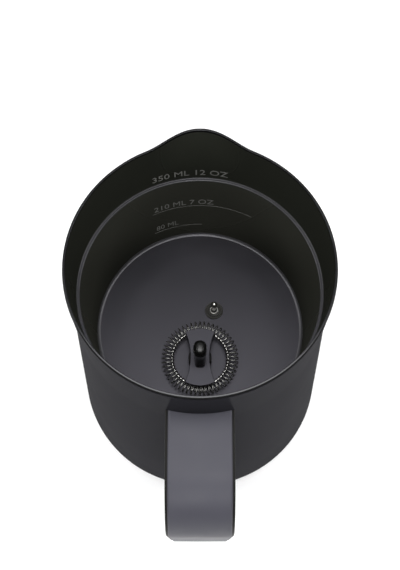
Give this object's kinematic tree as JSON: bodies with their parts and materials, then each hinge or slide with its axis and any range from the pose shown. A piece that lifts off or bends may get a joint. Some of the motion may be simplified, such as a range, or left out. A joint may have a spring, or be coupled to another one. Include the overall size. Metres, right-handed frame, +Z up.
{
  "type": "milk frother",
  "caption": "Cordless milk frother jug with a pouring spout, strap handle, lift-out magnetic coil whisk, heated coated pot and a start button.",
  "frame": {"origin": "on the jug's axis in the plane it stands on, at the face of the cordless socket's hub", "axes": "+Z up along the jug's axis, +Y towards the pouring spout, so the handle is on the -Y side, +X to the right"},
  "size_m": [0.1168, 0.151, 0.16],
  "materials": {
    "painted_body": "satin dark grey paint",
    "pot_coating": "satin dark non-stick coating",
    "handle_cover": "satin mid grey",
    "dark_plastic": "fine matt moulding",
    "gloss_black": "polished",
    "satin_steel": "satin",
    "spring_steel": "bright drawn wire",
    "steel": "turned",
    "fastener_steel": "plated",
    "rubber": "moulded",
    "brass": "turned",
    "aluminium": "pressed",
    "white_plastic": "natural heat-resistant moulding",
    "circuit_board": "solder mask",
    "magnet": "nickel plated",
    "light_guide": "milky",
    "relay_case": "moulded",
    "red_insulation": "extruded",
    "blue_insulation": "extruded"
  },
  "bodies": {
    "jug": {"base_cover": "dark_plastic", "base_screw_1": "fastener_steel", "base_screw_2": "fastener_steel", "base_screw_3": "fastener_steel", "board_screw_1": "fastener_steel", "board_screw_2": "fastener_steel", "board_screw_3": "fastener_steel", "bracket_screw_left": "fastener_steel", "bracket_screw_right": "fastener_steel", "bracket_spacer_left": "brass", "bracket_spacer_right": "brass", "button_bezel": "satin_steel", "button_light_ring": "light_guide", "capacitor": "dark_plastic", "chassis": "white_plastic", "circuit_board": "circuit_board", "control_chip": "dark_plastic", "coupler_contact_inner": "brass", "coupler_contact_middle": "brass", "coupler_contact_outer": "brass", "coupler_housing": "white_plastic", "handle_cover": "handle_cover", "handle_grip": "dark_plastic", "handle_screw_lower": "fastener_steel", "handle_screw_upper": "fastener_steel", "heat_spreader": "aluminium", "heater_element": "steel", "heater_lead_left": "blue_insulation", "heater_lead_right": "red_insulation", "heater_terminal_left": "steel", "heater_terminal_right": "steel", "inner_pot": "pot_coating", "motor_bracket": "satin_steel", "motor_can": "satin_steel", "motor_end_cap": "white_plastic", "motor_lead_left": "blue_insulation", "motor_lead_right": "red_insulation", "outer_body": "painted_body", "probe_nut": "brass", "probe_pin": "steel", "probe_seal": "rubber", "relay": "relay_case", "switch_board": "circuit_board", "switch_body": "dark_plastic", "terminal_block": "white_plastic", "thermal_cutout": "steel", "whisk_pivot_pin": "steel"},
    "whisk_seat": {"whisk_bush": "dark_plastic"},
    "whisk": {"whisk_bridge": "satin_steel", "whisk_coil": "spring_steel", "whisk_grip": "gloss_black", "whisk_magnet_back": "magnet", "whisk_magnet_front": "magnet"},
    "drive": {"drive_rotor": "dark_plastic", "drive_magnet_back": "magnet", "drive_magnet_front": "magnet", "motor_shaft": "steel"},
    "button": {"start_button": "gloss_black", "switch_plunger": "white_plastic"}
  },
  "joints": [
    {"name": "whisk_lift", "type": "slide", "parent": "jug", "child": "whisk_seat", "axis": [0, 0, 1], "range_m": [0, 0.095]},
    {"name": "whisk_spin", "type": "hinge", "parent": "whisk_seat", "child": "whisk", "pos_m": [0, -0.015, 0.0847], "axis": [0, 0, 1], "continuous": true},
    {"name": "drive_spin", "type": "hinge", "parent": "jug", "child": "drive", "pos_m": [0, -0.015, 0.077], "axis": [0, 0, 1], "continuous": true},
    {"name": "button_press", "type": "slide", "parent": "jug", "child": "button", "axis": [0, 1, 0], "range_m": [0, 0.001], "stiffness_N_per_m": 800}
  ],
  "couplings": [
    {"joint": "whisk_spin", "follows": "drive_spin", "ratio": 1}
  ]
}
